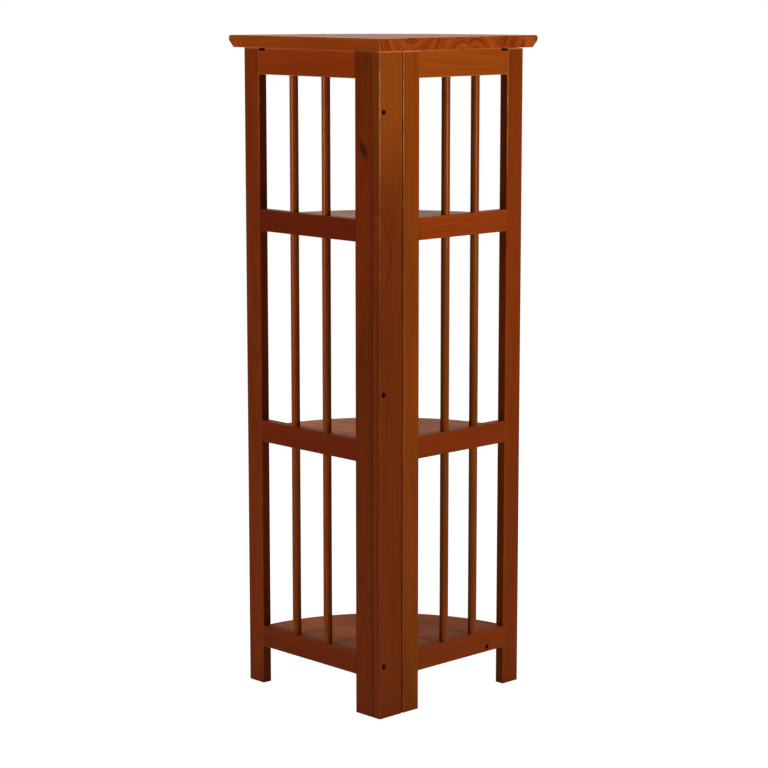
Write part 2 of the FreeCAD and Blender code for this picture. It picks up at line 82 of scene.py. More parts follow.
camera_data = bpy.data.cameras.new("camera")
camera_data.sensor_width = SENSOR_MM
camera_data.lens = SENSOR_MM * FOCAL_PIXELS / PICTURE_PIXELS
camera = bpy.data.objects.new("camera", camera_data)
camera.location = STAND
camera.rotation_euler = (math.pi / 2 - TILT, 0.0, HEADING - math.pi / 2)
bpy.context.scene.collection.objects.link(camera)
bpy.context.scene.camera = camera
print("camera lens", round(camera_data.lens, 1), "mm")

# %% [markdown]
# ## Small helpers for nodes
#
# Every finish below is a node tree, and most of a tree is arithmetic. A few helpers keep the cells short: one adds a
# node and fills its sockets with values or links, one does a single sum, and one carries a value smoothly from one
# range into another. A range of four numbers lists where it starts and ends, and then the values that it gives there.
# Colours are written as they are read from a screen and made linear for the shader.

# %% Node helpers
def fill_socket(tree, socket, value):
    """Link another node's output into a socket, or write a plain value into it."""
    if isinstance(value, bpy.types.NodeSocket):
        tree.links.new(value, socket)
    else:
        socket.default_value = value


def put(tree, kind, fill=None, **options):
    """Add a node, set its options, and fill its inputs with plain values or with other nodes' outputs."""
    made = tree.nodes.new(kind)
    for name, value in options.items():
        setattr(made, name, value)
    for key, value in (fill or {}).items():
        fill_socket(tree, made.inputs[key], value)
    return made


def work(tree, operation, *values):
    """One step of arithmetic on numbers or sockets."""
    return put(tree, "ShaderNodeMath", dict(enumerate(values)), operation=operation).outputs[0]


def ease(tree, value, low, high, start=0.0, end=1.0):
    """Carry a value smoothly from the range low to high into the range start to end."""
    fill = {"Value": value, "From Min": low, "From Max": high, "To Min": start, "To Max": end}
    return put(tree, "ShaderNodeMapRange", fill, interpolation_type="SMOOTHSTEP").outputs["Result"]


print("node helpers ready")

# %% Colour and group helpers
def stain(red, green, blue):
    """A colour as it is read from a screen, made linear for the shader by the sRGB formula."""
    screen = np.array([red, green, blue]) / 255.0
    linear = np.where(screen <= 0.04045, screen / 12.92, ((screen + 0.055) / 1.055) ** 2.4)
    return (*linear.tolist(), 1.0)


def blend_colours(tree, share, first, second, how="MIX"):
    """Mix two colours by a share. The Mix node has sockets for several types, and only the enabled ones count."""
    made = put(tree, "ShaderNodeMix", data_type="RGBA", blend_type=how)
    for label, value in (("Factor", share), ("A", first), ("B", second)):
        fill_socket(tree, next(s for s in made.inputs if s.name == label and s.enabled), value)
    return next(s for s in made.outputs if s.enabled)


def new_group(name, takes, gives):
    """Start a shared node group with named inputs and outputs."""
    group = bpy.data.node_groups.new(name, "ShaderNodeTree")
    for label, kind, value in takes:
        socket = group.interface.new_socket(label, in_out="INPUT", socket_type=f"NodeSocket{kind}")
        socket.default_value = value
    for label, kind in gives:
        group.interface.new_socket(label, in_out="OUTPUT", socket_type=f"NodeSocket{kind}")
    return group, put(group, "NodeGroupInput").outputs, put(group, "NodeGroupOutput").inputs


def principled(finish):
    """Switch a material to nodes and give its tree and its Principled shader."""
    finish.use_nodes = True
    return finish.node_tree, next(n for n in finish.node_tree.nodes if n.type == "BSDF_PRINCIPLED")


print("a mid brown is", [round(v, 3) for v in stain(114, 50, 12)])

# %% [markdown]
# ## The white sweep
#
# The picture has a white sweep with hardly any shadow. In a studio that is a roll of paper that curves up behind the
# object. Here the floor is one wide face and the world stands for the paper behind it. Both are white to the camera,
# and the floor is white in reflections too. A share of its own shading is kept, so the feet still stand on something.

# %% Stage the floor
FLOOR_REACH = 30.0
WHITE = (1.0, 1.0, 1.0, 1.0)
PAPER = (0.86, 0.86, 0.86, 1.0)
PAPER_GLOW = 1.1
GLOW_SHARE = 0.9


def empty_tree(owner):
    """Switch a material or a world to nodes and clear away what it starts with."""
    owner.use_nodes = True
    owner.node_tree.nodes.clear()
    return owner.node_tree


def ray_kinds(tree):
    """Two masks: what the camera sees directly, and what shows in gloss or through glass."""
    path = put(tree, "ShaderNodeLightPath").outputs
    return path["Is Camera Ray"], work(tree, "MAXIMUM", path["Is Glossy Ray"], path["Is Transmission Ray"])


floor_corners = [(x * FLOOR_REACH, y * FLOOR_REACH, 0) for x, y in ((-1, -1), (1, -1), (1, 1), (-1, 1))]
floor_mesh = bpy.data.meshes.new("floor")
floor_mesh.from_pydata(floor_corners, [], [(0, 1, 2, 3)])
floor = bpy.data.objects.new("floor", floor_mesh)
bpy.context.scene.collection.objects.link(floor)

paper = bpy.data.materials.new("white_sweep")
tree = empty_tree(paper)
direct, mirrored = ray_kinds(tree)
seen = work(tree, "MULTIPLY", work(tree, "MAXIMUM", direct, mirrored), GLOW_SHARE)
dull = put(tree, "ShaderNodeBsdfDiffuse", {"Color": PAPER})
white = put(tree, "ShaderNodeEmission", {"Color": WHITE, "Strength": PAPER_GLOW})
mixed = put(tree, "ShaderNodeMixShader", {0: seen, 1: dull.outputs[0], 2: white.outputs[0]})
put(tree, "ShaderNodeOutputMaterial", {"Surface": mixed.outputs[0]})
floor_mesh.materials.append(paper)
print("floor", 2 * FLOOR_REACH, "m wide")

# %% [markdown]
# ## The world round the object
#
# The world gives a weak, even fill. In reflections it is bright only low down behind the object, where the paper
# stands in a studio, and grows warm and dim above that, so lacquered faces get a soft sheen that fades upwards and
# not a grey veil all over.

# %% Light the world
BACKDROP = (0.695, 0.719, 0.0)
BACKDROP_COSINES = (0.45, 0.85)
BACKDROP_LEVELS = (0.1, 1.0)
SHEEN_HEIGHTS = (0.02, 0.24)
SHEEN_LEVELS = (1.45, 0.12)
WARM_HEIGHTS = (0.05, 0.12)
WARM = (1.0, 0.66, 0.5, 1.0)
FILL = (1.0, 0.98, 0.96, 1.0)
FILL_LEVEL = 0.15

world = bpy.data.worlds.new("studio")
bpy.context.scene.world = world
tree = empty_tree(world)
direct, mirrored = ray_kinds(tree)
way = put(tree, "ShaderNodeTexCoord").outputs["Generated"]
toward = put(tree, "ShaderNodeVectorMath", {0: way, 1: BACKDROP}, operation="DOT_PRODUCT").outputs["Value"]
height = put(tree, "ShaderNodeSeparateXYZ", {0: way}).outputs["Z"]
sweep = work(tree, "MULTIPLY", ease(tree, toward, *BACKDROP_COSINES, *BACKDROP_LEVELS),
             ease(tree, height, *SHEEN_HEIGHTS, *SHEEN_LEVELS))
warmth = blend_colours(tree, ease(tree, height, *WARM_HEIGHTS), WHITE, WARM)
soft = put(tree, "ShaderNodeBackground", {"Color": FILL, "Strength": FILL_LEVEL})
sheen = put(tree, "ShaderNodeBackground", {"Color": warmth, "Strength": sweep})
plain = put(tree, "ShaderNodeBackground", {"Color": WHITE, "Strength": 1.0})
lit = put(tree, "ShaderNodeMixShader", {0: mirrored, 1: soft.outputs[0], 2: sheen.outputs[0]})
shown = put(tree, "ShaderNodeMixShader", {0: direct, 1: lit.outputs[0], 2: plain.outputs[0]})
put(tree, "ShaderNodeOutputWorld", {"Surface": shown.outputs[0]})
print("world", len(tree.nodes), "nodes")

# %% [markdown]
# ## Lamps
#
# Two soft lamps do most of the work, each nearly square to one of the panels, and two more fill the top and the open
# front. The corner post shades the insides, which is why the inner edges of the far stiles look almost black. These
# four are kept out of reflections, where they would burn patches into the shelves. The lacquered spindles catch two
# narrow lamps as fine bright lines, so these two light the spindles alone, and only in their shine.

# %% Hang the lamps
def lamp(name, place, aim, size, watts, colour):
    """A soft oblong lamp at a place, tilted up from straight down and then turned until it faces a point."""
    data = bpy.data.lights.new(name, "AREA")
    data.shape = "RECTANGLE"
    data.size, data.size_y = size
    data.energy = watts
    data.color = colour
    made = bpy.data.objects.new(name, data)
    made.location = place
    x, y, z = np.subtract(aim, place)
    made.rotation_euler = (math.atan2(math.hypot(x, y), -z), 0.0, math.atan2(y, x) - math.pi / 2)
    bpy.context.scene.collection.objects.link(made)
    return made


soft_lamps = [
    lamp("right_lamp", (0.10, -1.7, 1.34), (0.0, -0.1, 0.8), (0.4, 0.9), 23.5, (1.0, 0.98, 0.92)),
    lamp("left_lamp", (-2.5, 0.12, 2.0), (-0.1, 0.0, 0.65), (0.45, 0.9), 38.0, (1.0, 0.94, 0.9)),
    lamp("overhead", (0.4, 0.5, 3.2), (0.0, 0.0, 0.8), (1.6, 1.6), 24.0, (1.0, 1.0, 1.0)),
    lamp("front_lamp", (2.2, 2.2, 1.5), (0.0, 0.0, 0.6), (1.2, 1.2), 50.0, (1.0, 0.98, 0.96)),
]
glints = [
    lamp("right_glint", (-0.12, -1.7, 0.93), (0.0, -0.2, 1.0), (0.42, 0.44), 70.0, (1.0, 0.78, 0.45)),
    lamp("left_glint", (-2.5, 0.18, 0.88), (-0.2, 0.0, 1.0), (0.6, 0.48), 150.0, (1.0, 0.66, 0.6)),
]
glint_receivers = bpy.data.collections.new("glint_receivers")
for name, piece in nodes.items():
    if "spindle" in name:
        glint_receivers.objects.link(piece)
for soft_lamp in soft_lamps:
    soft_lamp.visible_glossy = False
for glint in glints:
    glint.light_linking.receiver_collection = glint_receivers
    glint.visible_diffuse = False
bpy.context.scene.view_settings.view_transform = "Standard"

# %% [markdown]
# ## Growth rings through solid wood
#
# A picture of grain glued onto a board goes wrong at its edges. Here the board is cut from a tree instead: every
# point's distance from the pith, the middle of the trunk, is counted in rings. A wide face then shows long arches, an
# edge shows close lines and a sawn end shows arcs, all meeting at the corners. A glued panel takes a new piece of
# trunk for each of its staves, so the group starts by finding a point's stave and drawing its luck.

# %% Start the ring group with its staves
NOISE_MIDDLE = 0.5
STAVE_DRAW, STAVE_MOVE, SEED_MOVE = 7.3, 3.1, 1.7  # uneven steps, so that no two staves or boards meet in the noise

rings, take, give = new_group(
    "growth_rings",
    [("Vector", "Vector", (0, 0, 0)), ("Pith", "Vector", (0, 0, 0.06)), ("Lean", "Vector", (0, 0.02, 0.01)),
     ("Ring Width", "Float", 0.004), ("Early Wood", "Float", 0.25), ("Wander", "Float", 0.012),
     ("Stave Width", "Float", 0.07), ("Glued", "Float", 0.0), ("Knot", "Vector", (0, 0, 0)),
     ("Knot Size", "Float", 0.0), ("Knot Core", "Float", 0.0), ("Seed", "Float", 0.0)],
    [("Line", "Float"), ("Fibre", "Float"), ("Cloud", "Float"), ("Stave", "Float"), ("Knot", "Float")])
along, across, deep = put(rings, "ShaderNodeSeparateXYZ", {0: take["Vector"]}).outputs
nearest = work(rings, "ROUND", work(rings, "DIVIDE", across, take["Stave Width"]))
stave = work(rings, "MULTIPLY", nearest, take["Glued"])
in_stave = work(rings, "SUBTRACT", across, work(rings, "MULTIPLY", stave, take["Stave Width"]))
draw = put(rings, "ShaderNodeTexWhiteNoise", {"W": work(rings, "MULTIPLY_ADD", stave, STAVE_DRAW, take["Seed"])},
           noise_dimensions="1D").outputs["Color"]
chance = put(rings, "ShaderNodeSeparateColor", {0: draw}).outputs
moved = put(rings, "ShaderNodeCombineXYZ", {
    "X": work(rings, "MULTIPLY_ADD", stave, STAVE_MOVE, take["Seed"]),
    "Y": work(rings, "MULTIPLY", take["Seed"], SEED_MOVE),
    "Z": take["Seed"],
}).outputs[0]
print("ring group takes", len(take) - 1, "values")

# %% [markdown]
# ## The trunk and its pith
#
# A trunk is no cylinder: slow noise bends it and a fine ripple shakes its rings. Wood changes slowly along the grain
# and fast across it, so all of this noise is drawn out lengthwise. The pith leans a little against the board, which
# is what opens the rings into arches. In a glued panel every second stave or so lies the other way up.

# %% Measure the way to the pith
BEND = (1.3, 8.0, 8.0)
RIPPLE = (7.0, 80.0, 80.0)
FIBRE = (9.0, 420.0, 420.0)
CLOUD = (2.6, 22.0, 22.0)
STAVE_SHIFT = 1.8


def grain_noise(stretch, detail, rough=0.5):
    """Noise with a number of changes per metre along, across and through the board."""
    scaled = put(rings, "ShaderNodeVectorMath", {0: take["Vector"], 1: stretch}, operation="MULTIPLY").outputs[0]
    placed = put(rings, "ShaderNodeVectorMath", {0: scaled, 1: moved}, operation="ADD").outputs[0]
    fill = {"Vector": placed, "Scale": 1.0, "Detail": detail, "Roughness": rough}
    return put(rings, "ShaderNodeTexNoise", fill).outputs


def from_pith(place, centre, slope, noise):
    """How far a point lies from the leaning, wandering pith along one direction."""
    straight = work(rings, "MULTIPLY_ADD", along, slope, work(rings, "SUBTRACT", place, centre))
    return work(rings, "MULTIPLY_ADD", work(rings, "SUBTRACT", noise, NOISE_MIDDLE), take["Wander"], straight)


bend = put(rings, "ShaderNodeSeparateColor", {0: grain_noise(BEND, detail=1.0)["Color"]}).outputs
pith = put(rings, "ShaderNodeSeparateXYZ", {0: take["Pith"]}).outputs
lean = put(rings, "ShaderNodeSeparateXYZ", {0: take["Lean"]}).outputs
turned_over = work(rings, "MULTIPLY", work(rings, "GREATER_THAN", chance[1], NOISE_MIDDLE), take["Glued"])
flip = work(rings, "MULTIPLY_ADD", turned_over, -2.0, 1.0)
off_middle = work(rings, "MULTIPLY", work(rings, "SUBTRACT", chance[0], NOISE_MIDDLE), take["Stave Width"])
shift = work(rings, "MULTIPLY", off_middle, work(rings, "MULTIPLY", take["Glued"], STAVE_SHIFT))
sideways = from_pith(in_stave, work(rings, "ADD", pith[1], shift), lean[1], bend[0])
depth = from_pith(deep, work(rings, "MULTIPLY", pith[2], flip), lean[2], bend[1])
radius = work(rings, "SQRT", work(rings, "MULTIPLY_ADD", sideways, sideways, work(rings, "MULTIPLY", depth, depth)))
print("trunk", len(rings.nodes), "nodes")

# %% [markdown]
# ## Knots and the count of rings
#
# A knot is the foot of a branch. The rings swell round it, and where the branch is cut its core shows as a dark,
# slanting spot. The rings are then counted: the fraction of the count is the season, and the late wood is a line that
# grows slowly and ends sharply. Years differ, so a noise along the count makes some rings wide and some narrow.

# %% Push the rings aside at a knot and count them
KNOT_LENGTHEN = 0.5
KNOT_SLANT = 0.45
KNOT_FALL = -0.35
KNOT_CORE = (0.02, 1.3)
SMALLEST_KNOT = 0.0001
RIPPLE_HEIGHT = 0.0012
CHANGES_PER_YEAR = 0.6
YEARS_SPREAD = 1.6
LATE_FULL = 0.88
WINTER = (0.9, 1.0)

knot = put(rings, "ShaderNodeSeparateXYZ", {0: take["Knot"]}).outputs
knot_size = work(rings, "MAXIMUM", take["Knot Size"], SMALLEST_KNOT)
past_knot = work(rings, "SUBTRACT", along, knot[0])
beside_knot = work(rings, "SUBTRACT", work(rings, "SUBTRACT", across, knot[1]),
                   work(rings, "MULTIPLY", past_knot, KNOT_SLANT))
knot_along = work(rings, "DIVIDE", work(rings, "MULTIPLY", past_knot, KNOT_LENGTHEN), knot_size)
knot_across = work(rings, "DIVIDE", beside_knot, knot_size)
knot_reach = work(rings, "MULTIPLY_ADD", knot_along, knot_along,
                  work(rings, "MULTIPLY", knot_across, knot_across))
swell = work(rings, "MULTIPLY", work(rings, "EXPONENT", work(rings, "MULTIPLY", knot_reach, KNOT_FALL)),
             take["Knot Size"])
core = work(rings, "MULTIPLY", ease(rings, knot_reach, *KNOT_CORE, 1.0, 0.0), take["Knot Core"])

ripple = grain_noise(RIPPLE, detail=2.0)["Fac"]
outward = work(rings, "MULTIPLY_ADD", ripple, RIPPLE_HEIGHT, work(rings, "ADD", radius, swell))
counted = work(rings, "DIVIDE", outward, take["Ring Width"])
year = work(rings, "MULTIPLY_ADD", counted, CHANGES_PER_YEAR, take["Seed"])
uneven = put(rings, "ShaderNodeTexNoise", {"W": year, "Scale": 1.0, "Detail": 1.0},
             noise_dimensions="1D").outputs["Fac"]
season = work(rings, "FRACT", work(rings, "MULTIPLY_ADD", uneven, YEARS_SPREAD, counted))
late_line = work(rings, "MULTIPLY", ease(rings, season, take["Early Wood"], LATE_FULL),
                 ease(rings, season, *WINTER, 1.0, 0.0))
for label, value in (("Line", late_line), ("Fibre", grain_noise(FIBRE, detail=3.0, rough=0.6)["Fac"]),
                     ("Cloud", grain_noise(CLOUD, detail=2.0)["Fac"]), ("Stave", chance[2]), ("Knot", core)):
    rings.links.new(value, give[label])
print("ring group", len(rings.nodes), "nodes")

# %% [markdown]
# ## Eased edges and sawn ends
#
# Handling and sanding thin the stain along a board's corners, so they show as pale lines. The same lines also stand
# for a painted highlight of the lamps on the rounded corners, which is why they are painted stronger high up. On a
# straight board the corner is where two of its three distances to the faces are small, so the middle one of the three
# tells how near the closest corner is. Where a face looks along the grain it is a sawn end, which drinks more stain,
# and the direction of the face is enough to find it.

# %% Build the edge group
PATCH_SCALE = 30.0
PATCHES = (0.3, 0.62, 0.4, 1.0)
# Heights over which the pale edges grow, as a painted highlight of the lamps on the rounded corners.
HANDS_REACH = (0.85, 1.15, 0.16, 1.0)
# Heights over which a pale tone is painted on as painted light.
LIGHT_REACH = (0.9, 1.12)
EDGE_FALL = (0.25, 1.1, 1.0, 0.0)
END_COSINES = (0.6, 0.9)

edges, take, give = new_group(
    "eased_edges",
    [("Vector", "Vector", (0, 0, 0)), ("Half Size", "Vector", (0.5, 0.02, 0.01)), ("Width", "Float", 0.0016),
     ("Height", "Float", 0.0), ("Along Grain", "Float", 0.0)],
    [("Edge", "Float"), ("End", "Float"), ("High", "Float")])
apart = put(edges, "ShaderNodeVectorMath", {0: take["Vector"]}, operation="ABSOLUTE").outputs[0]
gaps = put(edges, "ShaderNodeVectorMath", {0: take["Half Size"], 1: apart}, operation="SUBTRACT").outputs[0]
one, two, three = put(edges, "ShaderNodeSeparateXYZ", {0: gaps}).outputs
upper_bound = work(edges, "MINIMUM", work(edges, "MAXIMUM", one, two), three)
middle_gap = work(edges, "MAXIMUM", work(edges, "MINIMUM", one, two), upper_bound)
patchy = put(edges, "ShaderNodeTexNoise",
             {"Vector": take["Vector"], "Scale": PATCH_SCALE, "Detail": 3.0}).outputs["Fac"]
# Patchy rubbing, painted stronger high up as a painted highlight.
handled_here = work(edges, "MULTIPLY", ease(edges, patchy, *PATCHES), ease(edges, take["Height"], *HANDS_REACH))
worn = work(edges, "MULTIPLY", ease(edges, work(edges, "DIVIDE", middle_gap, take["Width"]), *EDGE_FALL),
            handled_here)
edges.links.new(worn, give["Edge"])
edges.links.new(ease(edges, take["Height"], *LIGHT_REACH), give["High"])
edges.links.new(ease(edges, work(edges, "ABSOLUTE", take["Along Grain"]), *END_COSINES), give["End"])
print("edge group", len(edges.nodes), "nodes")

# %% [markdown]
# ## Stain and lacquer
#
# The stain colours the soft early wood and leaves the hard late wood as dark red lines. Long fibres and slow clouds
# vary it, staves differ a little, knots are nearly black, edges are paler and sawn ends darker. The pale edges are
# partly rubbing and partly a painted highlight that grows towards the top, and a pale tone is painted on faces high
# up, or towards the left wall on the shelves, as painted light. The lacquer is satin: its roughness follows the
# fibres, and a very low relief follows the rings.

# %% Start the stain group
MID_NOISE = (0.3, 0.7)
FIBRE_TONES = (0.9, 1.09)
CLOUD_TONES = (-0.14, 0.16)
STAVE_TONES = (0.22, 0.89)
KNOT_SHARE = 0.8
FIBRE_GLOSS = (-0.04, 0.04)
LINE_GLOSS = -0.03
FIBRE_HEIGHT = 0.5
# The first colour is painted light: a pale tone put on faces that the lamps light more.
BLEACHED, KNOT_DARK, SOAKED = stain(204, 116, 30), stain(44, 13, 6), stain(58, 22, 9)

stains, take, give = new_group(
    "stained_pine",
    [("Ground", "Color", (0.2, 0.05, 0.01, 1)), ("Late Wood", "Color", (0.09, 0.015, 0.003, 1)),
     ("Worn", "Color", (0.4, 0.16, 0.05, 1)), ("Figure", "Float", 0.4), ("End Figure", "Float", 0.6),
     ("End Soak", "Float", 0.4), ("Wear", "Float", 0.7), ("Bleach", "Float", 0.0), ("Gloss", "Float", 0.28),
     ("Streak", "Float", 1.0), ("High", "Float", 0.0), ("Line", "Float", 0.0), ("Fibre", "Float", 0.5),
     ("Cloud", "Float", 0.5), ("Stave", "Float", 0.5), ("Knot", "Float", 0.0), ("Edge", "Float", 0.0),
     ("End", "Float", 0.0)],
    [("Color", "Color"), ("Roughness", "Float"), ("Height", "Float")])
print("stain group takes", len(take) - 1, "values")

# %% Lay the stain on in layers
fibre, cloud = (
    work(stains, "MULTIPLY_ADD", work(stains, "SUBTRACT", take[label], NOISE_MIDDLE), take["Streak"], NOISE_MIDDLE)
    for label in ("Fibre", "Cloud"))
contrast = put(stains, "ShaderNodeMix", {0: take["End"], 2: take["Figure"], 3: take["End Figure"]},
               data_type="FLOAT").outputs[0]
streaks = work(stains, "ADD", ease(stains, fibre, *MID_NOISE, *FIBRE_TONES),
               ease(stains, cloud, *MID_NOISE, *CLOUD_TONES))
brightness = work(stains, "MULTIPLY", streaks, work(stains, "MULTIPLY_ADD", take["Stave"], *STAVE_TONES))
grey = put(stains, "ShaderNodeCombineColor", {0: brightness, 1: brightness, 2: brightness}).outputs[0]

colour = blend_colours(stains, work(stains, "MULTIPLY", take["Line"], contrast), take["Ground"], take["Late Wood"])
colour = blend_colours(stains, 1.0, colour, grey, "MULTIPLY")
# In turn: painted light, knots, pale edges of rubbing and painted highlight, and the darker sawn ends.
for mask, share, tone in (("High", take["Bleach"], BLEACHED), ("Knot", KNOT_SHARE, KNOT_DARK),
                          ("Edge", take["Wear"], take["Worn"]), ("End", take["End Soak"], SOAKED)):
    colour = blend_colours(stains, work(stains, "MULTIPLY", take[mask], share), colour, tone)
line_gloss = work(stains, "MULTIPLY", take["Line"], work(stains, "MULTIPLY", take["Streak"], LINE_GLOSS))
satin = work(stains, "ADD", ease(stains, fibre, *MID_NOISE, *FIBRE_GLOSS), line_gloss)
line_height = work(stains, "MULTIPLY", take["Line"], take["Figure"])
stains.links.new(colour, give["Color"])
stains.links.new(work(stains, "ADD", satin, take["Gloss"]), give["Roughness"])
stains.links.new(work(stains, "MULTIPLY_ADD", fibre, FIBRE_HEIGHT, line_height), give["Height"])
print("stain group", len(stains.nodes), "nodes")

# %% [markdown]
# ## Laying the pattern along a board
#
# No two boards come from the same place in a tree, so each gets its own material. A Mapping node puts the board's
# middle at the centre and turns its length along the pattern's first axis: upright for stiles and spindles, level
# along the wall for rails. The moulding on the top's curved front is bent, so its coordinates are wound round the arc.

# %% Board coordinates
TURN = {"x": (0.0, 0.0, 0.0), "y": (0.0, 0.0, -math.pi / 2), "z": (0.0, math.pi / 2, 0.0)}


def turned(point, grain):
    """A point or size in the axes of a board whose grain runs along x, y or z."""
    x, y, z = point
    return {"x": (x, y, z), "y": (y, -x, z), "z": (z, y, -x)}[grain]


def straight_board(tree, source, facing, centre, grain):
    """A straight board's coordinates from its middle, and how far each face looks along the grain."""
    fill = {"Vector": source, "Location": -np.array(turned(centre, grain)), "Rotation": TURN[grain]}
    return put(tree, "ShaderNodeMapping", fill).outputs[0], facing[grain.upper()]


def bent_board(tree, source, facing, centre, arc):
    """The same round an upright axis: angle times the bow's radius, distance from the bow, and height."""
    axis_x, axis_y, bow = arc
    fill = {"Vector": source, "Location": (-axis_x, -axis_y, -centre[2])}
    x, y, z = put(tree, "ShaderNodeSeparateXYZ", {0: put(tree, "ShaderNodeMapping", fill).outputs[0]}).outputs
    angle = work(tree, "ARCTAN2", y, x)
    reach = work(tree, "SQRT", work(tree, "MULTIPLY_ADD", x, x, work(tree, "MULTIPLY", y, y)))
    wound = {"X": work(tree, "MULTIPLY", angle, bow), "Y": work(tree, "SUBTRACT", reach, bow), "Z": z}
    endwise = work(tree, "SUBTRACT", work(tree, "MULTIPLY", work(tree, "COSINE", angle), facing["Y"]),
                   work(tree, "MULTIPLY", work(tree, "SINE", angle), facing["X"]))
    return put(tree, "ShaderNodeCombineXYZ", wound).outputs[0], endwise


print("one metre up an upright board lies at", turned((0.0, 0.0, 1.0), "z"), "in its pattern")

# %% [markdown]
# ## Marks that follow the bookcase
#
# Some marks belong to a place on the bookcase and not to one board. Painted light makes the strip paler high up and
# the shelves paler towards the left wall, only the outer corner of the post keeps the pale edge of rubbing and painted
# highlight, and a thin dark line is painted along the seam between the corner strip and the stile it is screwed to.
# Each mark is a smooth ramp over x or y that goes into one of the stain's inputs.

# %% Fading, handling and the dirty seam
# Width of the thin dark line painted along the seam, and the face it is painted on.
SEAM_DIRT = (0.0005, 0.002, 0.6, 0.0)
SEAM_FACE = (cad_low.x + 0.001, cad_low.x + 0.003, 1.0, 0.0)


def add_marks(tree, place, wood, ring_node, edge_node, stain_node):
    """Add the marks that a board's values ask for, between its other groups and its stain."""
    if wood["faded"]:
        # A ramp over x that paints light on a board, times the painted highlight high up on the strip.
        fade = ease(tree, place["X"], *wood["faded"])
        if wood["handled"]:
            fade = work(tree, "MULTIPLY", fade, edge_node.outputs["High"])
        tree.links.new(fade, stain_node.inputs["High"])
    # Only the outer corner keeps the pale edge of rubbing and painted highlight.
    if wood["handled"]:
        outside = ease(tree, place["Y"], *wood["handled"], 1.0, 0.0)
        tree.links.new(work(tree, "MULTIPLY", outside, edge_node.outputs["Edge"]), stain_node.inputs["Edge"])
    if wood["seam"]:
        # A thin dark line painted along the seam, in the knots' dark tone.
        away = work(tree, "ABSOLUTE", work(tree, "SUBTRACT", place["Y"], wood["seam"]))
        dirt = work(tree, "MULTIPLY", ease(tree, away, *SEAM_DIRT), ease(tree, place["X"], *SEAM_FACE))
        tree.links.new(work(tree, "MAXIMUM", dirt, ring_node.outputs["Knot"]), stain_node.inputs["Knot"])


print("seam dirt", 1000 * SEAM_DIRT[1], "mm to each side")

# %% [markdown]
# ## One finish for each board
#
# A finish joins the three groups: rings and edges feed the stain, and the stain feeds the shader. What all boards
# share stands in one table, and a board names only what it has of its own. Roughness, colour and relief vary over the
# wood and come from the group, while the lacquer's strength and tint are the same all over and are set on the shader.

# %% What boards share and what each has of its own
LATE = (74, 22, 6)
# Tone of the pale edges, partly rubbed wood and partly painted highlight.
WORN = (196, 122, 66)
LACQUER_TINT = (255, 220, 180)
RELIEF_DEPTH = 0.0004
SEED_START, SEED_STEP = 1.3, 3.7
FAR_EDGE = 10.0
PLAIN_PINE = {
    "pith": (0, 0.004, 0.07), "lean": (0, 0.02, 0.03), "ring": 0.0042, "early": 0.25, "wander": 0.014,
    "stave": None, "knot": None, "figure": 0.2, "end_figure": 0.5, "end_soak": 0.45, "streak": 1.0,
    "wear": 0.7, "rub": 0.0016, "bleach": 0.0, "faded": None, "handled": None, "seam": None,
    "gloss": 0.28, "lustre": 0.025, "relief": 0.2,
}
boards = []


def ring_values(wood, board, centre, grain, seed):
    """What a board's ring group gets, with a knot's place measured from the board's middle."""
    values = {"Vector": board, "Pith": wood["pith"], "Lean": wood["lean"], "Ring Width": wood["ring"],
              "Early Wood": wood["early"], "Wander": wood["wander"], "Seed": seed}
    if wood["stave"]:
        values.update({"Stave Width": wood["stave"], "Glued": 1.0})
    if wood["knot"]:
        spot, size, core = wood["knot"]
        values.update({"Knot": turned(np.array(spot) - centre, grain), "Knot Size": size, "Knot Core": core})
    return values


def stain_values(wood, ground, late):
    """What a board's stain group gets, with its colours made linear."""
    return {"Ground": stain(*ground), "Late Wood": stain(*late), "Worn": stain(*WORN), "Figure": wood["figure"],
            "End Figure": wood["end_figure"], "End Soak": wood["end_soak"], "Wear": wood["wear"],
            "Bleach": wood["bleach"], "Gloss": wood["gloss"], "Streak": wood["streak"]}


print("a board has", len(PLAIN_PINE), "values of its own")

